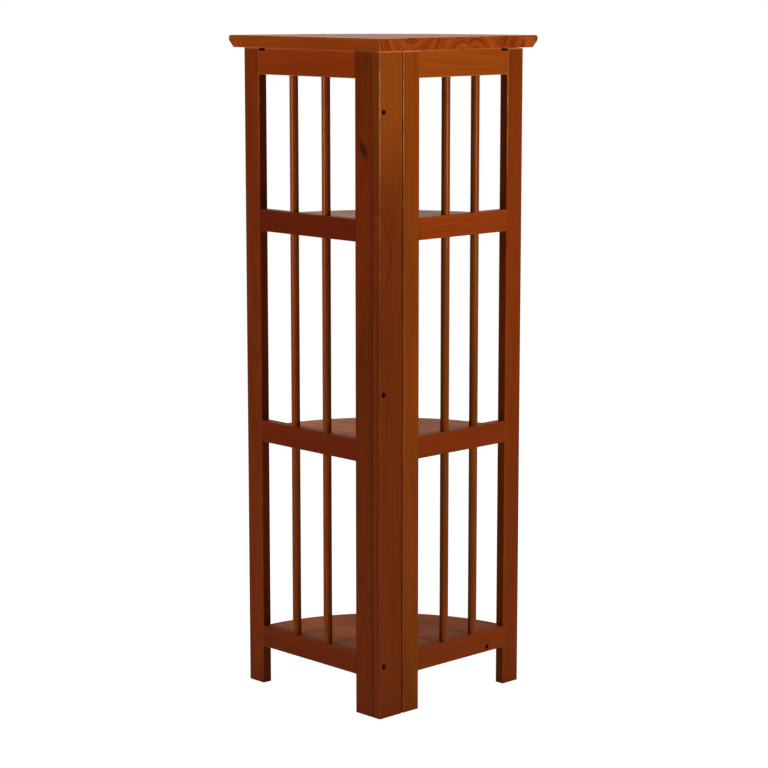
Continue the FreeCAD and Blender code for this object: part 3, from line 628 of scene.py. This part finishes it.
# %% Build the board finish
def board_finish(name, grain, ground, late=LATE, seed=None, arc=None, **own):
    """A stained pine material fitted to one node, with its grain along x, y, z or round an arc."""
    wood = {**PLAIN_PINE, **own}
    seed = SEED_STEP * len(boards) + SEED_START if seed is None else seed
    low, high = (np.array(v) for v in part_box(name))
    centre = (low + high) / 2
    half = np.abs(turned((high - low) / 2, grain))
    finish = bpy.data.materials.new(f"pine_{name}")
    tree, shader = principled(finish)
    source = put(tree, "ShaderNodeTexCoord").outputs
    place = put(tree, "ShaderNodeSeparateXYZ", {0: source["Object"]}).outputs
    facing = put(tree, "ShaderNodeSeparateXYZ", {0: source["Normal"]}).outputs
    if arc is None:
        board, endwise = straight_board(tree, source["Object"], facing, centre, grain)
    else:
        board, endwise = bent_board(tree, source["Object"], facing, centre, arc)
        half = np.array([FAR_EDGE, FAR_EDGE, half[2]])  # a moulding has no square corners for a pale edge
    edge_values = {"Vector": board, "Half Size": half, "Width": wood["rub"], "Height": place["Z"],
                   "Along Grain": endwise}
    ring_node = put(tree, "ShaderNodeGroup", ring_values(wood, board, centre, grain, seed), node_tree=rings)
    edge_node = put(tree, "ShaderNodeGroup", edge_values, node_tree=edges)
    stain_node = put(tree, "ShaderNodeGroup", stain_values(wood, ground, late), node_tree=stains)
    for made in (ring_node, edge_node):
        for output in made.outputs:
            tree.links.new(output, stain_node.inputs[output.name])
    add_marks(tree, place, wood, ring_node, edge_node, stain_node)
    bumps = put(tree, "ShaderNodeBump", {"Strength": wood["relief"], "Distance": RELIEF_DEPTH,
                                         "Height": stain_node.outputs["Height"]})
    tree.links.new(stain_node.outputs["Color"], shader.inputs["Base Color"])
    tree.links.new(stain_node.outputs["Roughness"], shader.inputs["Roughness"])
    tree.links.new(bumps.outputs["Normal"], shader.inputs["Normal"])
    shader.inputs["Specular IOR Level"].default_value = wood["lustre"]
    shader.inputs["Specular Tint"].default_value = stain(*LACQUER_TINT)
    for slot in nodes[name].material_slots:
        slot.material = finish
    boards.append(finish)


print("board finish joins", ", ".join(group.name for group in (rings, edges, stains)))

# %% [markdown]
# ## Stiles, rails and spindles
#
# Each board has a tone of its own: the left panel is a little redder, the right one more amber, and both top rails
# are paler. The left inner stile has one slanting knot near the top, and the strip covers its corner, so that corner
# gets almost none of the pale edge of rubbing and painted highlight. The spindles are turned from straight,
# fine-grained stock and thickly lacquered, so they shine more, and their tone differs a little from bay to bay.

# %% Tones of the two panels
TONES = {
    "left_inner_stile": (109, 41, 8), "left_outer_stile": (114, 44, 9),
    "left_top_rail": (138, 53, 11), "left_upper_rail": (99, 32, 7),
    "left_middle_rail": (104, 35, 7), "left_bottom_rail": (111, 41, 9),
    "right_inner_stile": (116, 53, 9), "right_outer_stile": (113, 45, 8),
    "right_top_rail": (140, 65, 12), "right_upper_rail": (131, 52, 10),
    "right_middle_rail": (111, 42, 8), "right_bottom_rail": (121, 49, 10),
}
SPINDLE_TONES = {
    "left": {"top": (130, 57, 14), "upper": (128, 57, 17), "middle": (134, 63, 20)},
    "right": {"top": (108, 48, 10), "upper": (116, 55, 12), "middle": (114, 55, 16)},
}
print("tones for", len(TONES), "boards and", sum(map(len, SPINDLE_TONES.values())), "pairs of spindles")

# %% Finish the two panels
BOARD_THICKNESS = 0.019
STRIP_SEAM = cad_low.y + BOARD_THICKNESS
STILE_KNOT = ((cad_low.x, cad_low.y + 0.041, 1.020), 0.0095, 1.0)  # its place, its size and how dark its core is
# How strongly each stile's edges are painted pale, for rubbing and painted highlight.
STILE_WEAR = {"inner": 1.0, "outer": 0.7}
STILE_MARKS = {"left_inner_stile": {"knot": STILE_KNOT, "seam": STRIP_SEAM, "wear": 0.2}}
PANELS = {
    "left": {"rail_grain": "y", "pith_depth": 0.055, "rub": 0.0016},
    "right": {"rail_grain": "x", "pith_depth": -0.06, "rub": 0.0024},
}
for side, panel in PANELS.items():
    for which, pith_side in (("inner", 0.01), ("outer", -0.01)):
        name = f"{side}_{which}_stile"
        marks = {"wear": STILE_WEAR[which], **STILE_MARKS.get(name, {})}
        board_finish(name, "z", TONES[name], figure=0.2, streak=0.75, rub=panel["rub"],
                     pith=(0, pith_side, panel["pith_depth"]), lean=(0, 0.012, 0.022), **marks)
    for level in ("top", "upper", "middle", "bottom"):
        name = f"{side}_{level}_rail"
        board_finish(name, panel["rail_grain"], TONES[name], figure=0.11, streak=0.6, pith=(0, 0.05, 0.03),
                     lean=(0, 0.03, 0.02), ring=0.005)
    for level, tone in SPINDLE_TONES[side].items():
        for number in (1, 2):
            board_finish(f"{side}_{level}_spindle_{number}", "z", tone, figure=0.15, pith=(0, 0.03, 0.02),
                         lean=(0, 0.008, 0.012), ring=0.0034, gloss=0.32, lustre=0.05)
print("panel boards", len(boards))

# %% [markdown]
# ## The corner strip
#
# The strip is sawn from near the bark, so its rings are broad and swing in one big arch round a swirl. Its face is
# painted paler high up as a painted highlight, less so on its narrow left side, which stands in shade. Of its
# corners only the outer one gets the pale edge of rubbing and painted highlight.

# %% Finish the corner strip
STRIP_SWIRL = ((cad_low.x + 0.060, cad_low.y, 0.835), 0.024, 0.0)
# The first ramp paints light on the strip's face and less on its shaded left side.
STRIP_FADE = (cad_low.x + 0.003, cad_low.x + 0.0008, 1.0, 0.4)
# The second ramp keeps the pale edge of rubbing and painted highlight to the outer corner.
STRIP_HANDLED = (cad_low.y + 0.004, cad_low.y + 0.012)
board_finish("corner_strip", "z", (106, 44, 10), seed=61.0, figure=0.34, streak=0.75, bleach=0.16, wear=0.9,
             knot=STRIP_SWIRL, rub=0.002, faded=STRIP_FADE, handled=STRIP_HANDLED, seam=STRIP_SEAM,
             pith=(0, 0.03, -0.09), lean=(0, 0.008, 0.006), ring=0.0085)
print("strip done, boards", len(boards))

# %% [markdown]
# ## Shelves, top and rests
#
# Wide boards are glued up from staves, and the staves' sawn ends make the bold arcs along the right edge of the top.
# The shelves are sanded flat under a smooth lacquer, so they have no relief, and they are painted paler towards the
# left wall as painted light. The moulding follows the top's curved front in one bent length.

# %% Finish the shelves, the top and the small blocks
SHELF_TONES = {"upper": (108, 54, 17), "middle": (124, 60, 20), "bottom": (114, 50, 16)}
# Painted light on the shelves, strongest towards the left wall.
SHELF_BLEACH = {"upper": 0.4, "middle": 0.27, "bottom": 0.14}
SHELF_FADE = (cad_low.x + 0.06, cad_low.x + 0.2, 1.0, 0.0)
TOP = {"figure": 0.18, "end_soak": 0.0, "wear": 0.25, "lustre": 0.06}
BOW_AXIS = cad_low.x - 0.07
BOW_RADIUS = 0.459
for level, tone in SHELF_TONES.items():
    board_finish(f"{level}_shelf", "y", tone, figure=0.04, stave=0.068, lustre=0.06, relief=0.0, streak=0.2,
                 bleach=SHELF_BLEACH[level], faded=SHELF_FADE, pith=(0, 0.0, 0.05), ring=0.0045)
    board_finish(f"{level}_shelf_rest", "x", (112, 48, 14), ring=0.004)
board_finish("top_board", "y", (138, 59, 9), (84, 18, 2), seed=23.4, end_figure=0.8, relief=0.08, stave=0.074,
             pith=(0, 0.0, 0.03), lean=(0, 0.012, 0.02), ring=0.0092, early=0.35, wander=0.024, **TOP)
board_finish("top_lipping", "x", (146, 66, 14), (92, 24, 4), seed=9.1, end_figure=0.9, ring=0.007, early=0.5,
             pith=(0, -0.03, 0.03), arc=(BOW_AXIS, BOW_AXIS, BOW_RADIUS), **TOP)
board_finish("top_pegs", "z", (170, 120, 70), (120, 74, 36), seed=5.2, figure=0.3, ring=0.003)
print("boards in all", len(boards))

# %% [markdown]
# ## Brass hinges
#
# The butt hinges are pressed from thin brassed steel. Rolling leaves fine scratches along the leaf, and the colour
# goes brown where hands and air reach it, so a slow noise mixes a tarnished tone in and roughens it.

# %% Finish the hinges
BRIGHT_BRASS, TARNISHED = stain(196, 156, 88), stain(120, 82, 42)
TARNISH_SCALE = 130.0
TARNISH = (0.42, 0.68)
ROLLED = (2400.0, 160.0, 2400.0)
BRASS_ROUGH, TARNISH_ROUGH, SCRATCH_ROUGH = 0.22, 0.16, 0.14
SCRATCH_RELIEF, SCRATCH_DEPTH = 0.25, 0.00008

brass = bpy.data.materials.new("hinge_brass")
tree, shader = principled(brass)
coords = put(tree, "ShaderNodeTexCoord").outputs["Object"]
mottled = put(tree, "ShaderNodeTexNoise", {"Vector": coords, "Scale": TARNISH_SCALE, "Detail": 4.0}).outputs["Fac"]
tarnish = ease(tree, mottled, *TARNISH)
rolled = put(tree, "ShaderNodeMapping", {"Vector": coords, "Scale": ROLLED}).outputs[0]
scratch = put(tree, "ShaderNodeTexNoise", {"Vector": rolled, "Scale": 1.0, "Detail": 2.0}).outputs["Fac"]
rough = work(tree, "MULTIPLY_ADD", scratch, SCRATCH_ROUGH,
             work(tree, "MULTIPLY_ADD", tarnish, TARNISH_ROUGH, BRASS_ROUGH))
scratches = put(tree, "ShaderNodeBump", {"Strength": SCRATCH_RELIEF, "Distance": SCRATCH_DEPTH, "Height": scratch})
tree.links.new(blend_colours(tree, tarnish, BRIGHT_BRASS, TARNISHED), shader.inputs["Base Color"])
tree.links.new(rough, shader.inputs["Roughness"])
tree.links.new(scratches.outputs["Normal"], shader.inputs["Normal"])
shader.inputs["Metallic"].default_value = 1.0
hinge_nodes = [n for n in nodes if n.endswith(("_leaves", "_pins"))]
for name in hinge_nodes:
    for slot in nodes[name].material_slots:
        slot.material = brass
print("hinge nodes", len(hinge_nodes))

# %% [markdown]
# ## Screw steel
#
# The screws are dark steel with a dull, oily skin, and their greys are painted darker still as painted shade for the
# heads that sit deep in their holes. A fine noise mixes the two greys and makes the duller spots rougher, which is
# enough for heads a few millimetres wide.

# %% Finish the screws
# Both greys are dark partly as painted shade for heads deep in their holes.
OILED, DULLED = stain(74, 69, 64), stain(44, 40, 37)
SPOT_SCALE = 420.0
SPOT_TONES = (0.4, 0.65)
SPOT_ROUGH = (0.35, 0.7, 0.3, 0.48)

screw_steel = bpy.data.materials.new("screw_steel")
tree, shader = principled(screw_steel)
coords = put(tree, "ShaderNodeTexCoord").outputs["Object"]
spots = put(tree, "ShaderNodeTexNoise", {"Vector": coords, "Scale": SPOT_SCALE, "Detail": 3.0}).outputs["Fac"]
tree.links.new(blend_colours(tree, ease(tree, spots, *SPOT_TONES), OILED, DULLED), shader.inputs["Base Color"])
tree.links.new(ease(tree, spots, *SPOT_ROUGH), shader.inputs["Roughness"])
shader.inputs["Metallic"].default_value = 1.0
print("steel", len(tree.nodes), "nodes")

# %% [markdown]
# ## The shape of a screw
#
# A screw is a profile spun round its axis, with two changes: a cross is pressed into the head's face, and the shank
# carries a thread, a ridge whose height depends on the angle as well as on the depth. Both are worked out on one grid
# of rings and angles, so a screw is a single closed surface. It stays inside the plain CAD screw that it stands for.

# %% Heads and the driver's cross
ANGLES = np.linspace(0.0, 2 * np.pi, 40, endpoint=False)
FACE_RINGS = 14
FACE_START = 0.08
FLAT_SHARE, RIM_DROP = 0.96, 0.00006
STEP_SHARE, DOME_SHARE, SEAT_RISE = 0.45, 0.55, 0.00005
ARM_SOFTNESS, REACH_SOFTNESS = 0.08, 0.06


def flat_head(radius, height, crest):
    """Radius and depth of a countersunk head: a flat face, an eased rim, and a straight cone down to the shank."""
    out = radius * np.linspace(FACE_START, FLAT_SHARE, FACE_RINGS)
    return np.vstack([np.stack([out, np.zeros_like(out)], -1), [(radius, RIM_DROP), (crest, height)]])


def round_head(radius, height, crest):
    """Radius and depth of a low dome on its seat: a step for part of its height, and a quarter ellipse above it."""
    share = np.linspace(FACE_START, 1.0, FACE_RINGS)
    rise = -height * (STEP_SHARE + DOME_SHARE * np.sqrt(np.maximum(0.0, 1 - share * share)))
    return np.vstack([np.stack([radius * share, rise], -1), [(radius, -SEAT_RISE), (crest, 0.0)]])


def cross_recess(x, y, length, width, depth):
    """Depth of the driver's cross: full where a point lies in an arm, easing to nothing at its sides and tip.

    Each border is a logistic step, 1 / (1 + e to the power of the distance past the border over its softness).
    """
    narrow = np.minimum(np.abs(x), np.abs(y))
    wide = np.maximum(np.abs(x), np.abs(y))
    in_arm = 1 / (1 + np.exp((narrow - width / 2) / (ARM_SOFTNESS * width)))
    in_reach = 1 / (1 + np.exp((wide - length / 2) / (REACH_SOFTNESS * length)))
    return depth * in_arm * in_reach


print("angles round a screw", len(ANGLES))

# %% The thread
THREAD_RINGS = 46
TIP_RINGS = 6
PITCH = 0.84
THREAD_CORE = 0.68
THREAD_START, THREAD_END = 0.0002, 2.4
TIP_START, TIP_END = 2.3, 0.00005
TIP_TAPER = (0.66, 0.08)


def screw_rings(head, crest, length, recess):
    """Rings of points from the head's middle to the screw's tip, pointing along +Z.

    head is a profile of (radius, depth) from near the middle of the face to the shank. The thread is a ridge of
    triangular section that climbs one pitch for each turn, from two thirds of the crest's radius to the crest. The
    pitch, the thread's end and the tip's start and taper are counted in radii of the crest.
    """
    steps = np.linspace(head[-1, 1] + THREAD_START, length - THREAD_END * crest, THREAD_RINGS)
    turn = ANGLES[None, :] / (2 * np.pi)
    phase = (steps[:, None] / (PITCH * crest) - turn) % 1.0
    ridge = 1 - np.abs(2 * phase - 1)
    shank = crest * (THREAD_CORE + (1 - THREAD_CORE) * ridge)
    tip = np.linspace(*TIP_TAPER, TIP_RINGS)[:, None] * crest * np.ones_like(turn)
    tip_depth = np.linspace(length - TIP_START * crest, length - TIP_END, TIP_RINGS)
    radius = np.vstack([np.repeat(head[:, :1], len(ANGLES), 1), shank, tip])
    depth = np.concatenate([head[:, 1], steps, tip_depth])[:, None] * np.ones_like(turn)
    x = radius * np.cos(ANGLES)
    y = radius * np.sin(ANGLES)
    on_face = np.arange(len(depth))[:, None] < FACE_RINGS
    return np.stack([x, y, depth + np.where(on_face, cross_recess(x, y, **recess), 0.0)], -1)


print("thread of", THREAD_RINGS, "rings and a point of", TIP_RINGS)

# %% The faces and the four kinds of screw
def spun_faces(count, around):
    """Quads between neighbouring rings, and a fan to the pole at each end."""
    ring = np.arange(count - 1)[:, None] * around
    here = np.arange(around)[None, :]
    after = (here + 1) % around
    quads = np.stack([ring + here, ring + after, ring + around + after, ring + around + here], -1).reshape(-1, 4)
    last = (count - 1) * around
    first_fan = np.stack([np.full(around, count * around), after[0], here[0]], -1)
    last_fan = np.stack([np.full(around, count * around + 1), last + here[0], last + after[0]], -1)
    return quads, first_fan, last_fan


SMALL_CROSS = {"length": 0.0034, "width": 0.0008, "depth": 0.0009}
LARGE_CROSS = {"length": 0.0042, "width": 0.0010, "depth": 0.0014}
SMALL_CREST, LARGE_CREST = 0.0013, 0.00175
LENGTHS = {"hinge": 0.013, "cleat": 0.026, "strip": 0.036, "rest": 0.024}
small_head = flat_head(radius=0.0025, height=0.0012, crest=SMALL_CREST)
large_head = round_head(radius=0.004, height=0.0024, crest=LARGE_CREST)
hinge_screw, cleat_screw = (screw_rings(small_head, SMALL_CREST, LENGTHS[kind], SMALL_CROSS)
                            for kind in ("hinge", "cleat"))
strip_screw, rest_screw = (screw_rings(large_head, LARGE_CREST, LENGTHS[kind], LARGE_CROSS)
                           for kind in ("strip", "rest"))
print("a hinge screw has", hinge_screw.shape[0], "rings of", hinge_screw.shape[1], "points")

# %% [markdown]
# ## Setting the screws
#
# One screw is copied to all its places at once by adding an offset to the whole array of points. The hinge screws are
# countersunk in their leaves, the others have round heads that lie at the bottom of a deep hole, and the two cleats
# are held by longer screws of the hinge's kind. Each set rides with the body whose wood it is driven into.

# %% Make a set of screws
# A screw is made along +Z, and these matrices turn it to the way that it is driven.
POINTING = {
    "+y": np.array([[1.0, 0, 0], [0, 0, 1], [0, -1, 0]]),
    "-y": np.array([[1.0, 0, 0], [0, 0, -1], [0, 1, 0]]),
    "+x": np.array([[0, 0, 1.0], [0, 1, 0], [-1, 0, 0]]),
    "-x": np.array([[0, 0, -1.0], [0, 1, 0], [1, 0, 0]]),
}
SHARP_EDGE = math.radians(40)
POINT_RISE = 0.00003


def screw_set(name, replaced, body, screw, pointing, places):
    """One piece with a copy of a screw at every place, standing for a CAD node."""
    poles = [[0.0, 0.0, screw[0, :, 2].mean()], [0.0, 0.0, screw[-1, :, 2].max() + POINT_RISE]]
    single = np.vstack([screw.reshape(-1, 3), poles]) @ POINTING[pointing].T
    points = (single[None] + np.array(places)[:, None]).reshape(-1, 3)
    offsets = (np.arange(len(places)) * len(single))[:, None, None]
    faces = []
    for kind in spun_faces(*screw.shape[:2]):
        faces += (kind[None] + offsets).reshape(-1, kind.shape[1]).tolist()
    mesh = bpy.data.meshes.new(name)
    mesh.from_pydata(points.tolist(), [], faces)
    mesh.shade_smooth()
    mesh.set_sharp_from_angle(angle=SHARP_EDGE)
    mesh.materials.append(screw_steel)
    piece = bpy.data.objects.new(name, mesh)
    bpy.context.scene.collection.objects.link(piece)
    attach(piece, body)
    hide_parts(replaced)
    spread = np.abs(np.array([points.min(0), points.max(0)]) - np.array(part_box(replaced))).max()
    print(name, len(places), "screws, within", round(spread * 1000, 2), "mm of the CAD box")


print("screws can point", ", ".join(POINTING))

# %% [markdown]
# ## Places of the screws
#
# The places are measured from the corner of the two walls, as a fitter would mark them: so far along a rail, so far
# below a shelf. Each hinge leaf has two screws, one to each side of the hinge's middle.

# %% Drive the hinge screws
SHELF_HEIGHT = {"upper": 0.8895, "middle": 0.496, "bottom": 0.108}
LEAF_THICKNESS = 0.0012
HINGE_GAP = 0.0056
HINGE_MIDDLES = (0.095, 0.265)
HINGE_STEPS = (-0.012, 0.012)
PIN_DROP = 0.0015
SCREW_REACH = 0.009
FOLD_PIN = 0.05575
FOLD_GAP = 0.004
HINGE_LENGTH = 0.04
FOLD_DROP = BOARD_THICKNESS + FOLD_GAP + HINGE_LENGTH / 2

corner = np.array([cad_low.x, cad_low.y, 0.0])
rail_face = BOARD_THICKNESS + LEAF_THICKNESS
shelf_face = BOARD_THICKNESS + HINGE_GAP - LEAF_THICKNESS
along_rail = [middle + step for middle in HINGE_MIDDLES for step in HINGE_STEPS]
for level, top in SHELF_HEIGHT.items():
    height = top - PIN_DROP - SCREW_REACH
    rail_places = [corner + (rail_face, y, height) for y in along_rail]
    shelf_places = [corner + (shelf_face, y, height) for y in along_rail]
    screw_set(f"{level}_rail_screw_set", f"{level}_rail_screws", "frame", hinge_screw, "-x", rail_places)
    screw_set(f"{level}_shelf_screw_set", f"{level}_shelf_screws", f"{level}_shelf", hinge_screw, "+x", shelf_places)
fold_places = [corner + (x, rail_face, top - FOLD_DROP + step) for top in SHELF_HEIGHT.values()
               for x in (FOLD_PIN - SCREW_REACH, FOLD_PIN + SCREW_REACH) for step in HINGE_STEPS]
screw_set("fold_screw_set", "fold_hinge_screws", "frame", hinge_screw, "-y", fold_places)

# %% Drive the screws of the rests and the strip
OPENING_START, OPENING_WIDTH = 0.097, 0.2245
REST_OFFSET = 0.0308
REST_DEPTH = 0.016
CLEAT_STEPS = (-0.018, 0.018)
CLEAT_DROP = 0.025
SUNK_DEPTH = 0.007
REST_SCREW_HEIGHT = 0.08025
STRIP_SCREW_HEIGHTS = (0.096, 0.5915, 1.087)

rest_x = OPENING_START + OPENING_WIDTH * 2 / 3 + REST_OFFSET
cleat_places = [corner + (rest_x + step, BOARD_THICKNESS + REST_DEPTH, SHELF_HEIGHT[level] - CLEAT_DROP)
                for level in ("upper", "middle") for step in CLEAT_STEPS]
rest_place = corner + (rest_x, SUNK_DEPTH, REST_SCREW_HEIGHT)
strip_places = [corner + (BOARD_THICKNESS / 2, SUNK_DEPTH, z) for z in STRIP_SCREW_HEIGHTS]
screw_set("rest_screw_pairs", "shelf_rest_screws", "frame", cleat_screw, "-y", cleat_places)
screw_set("bottom_rest_screw_piece", "bottom_rest_screw", "frame", rest_screw, "+y", [rest_place])
screw_set("strip_screw_set", "strip_screws", "frame", strip_screw, "+y", strip_places)
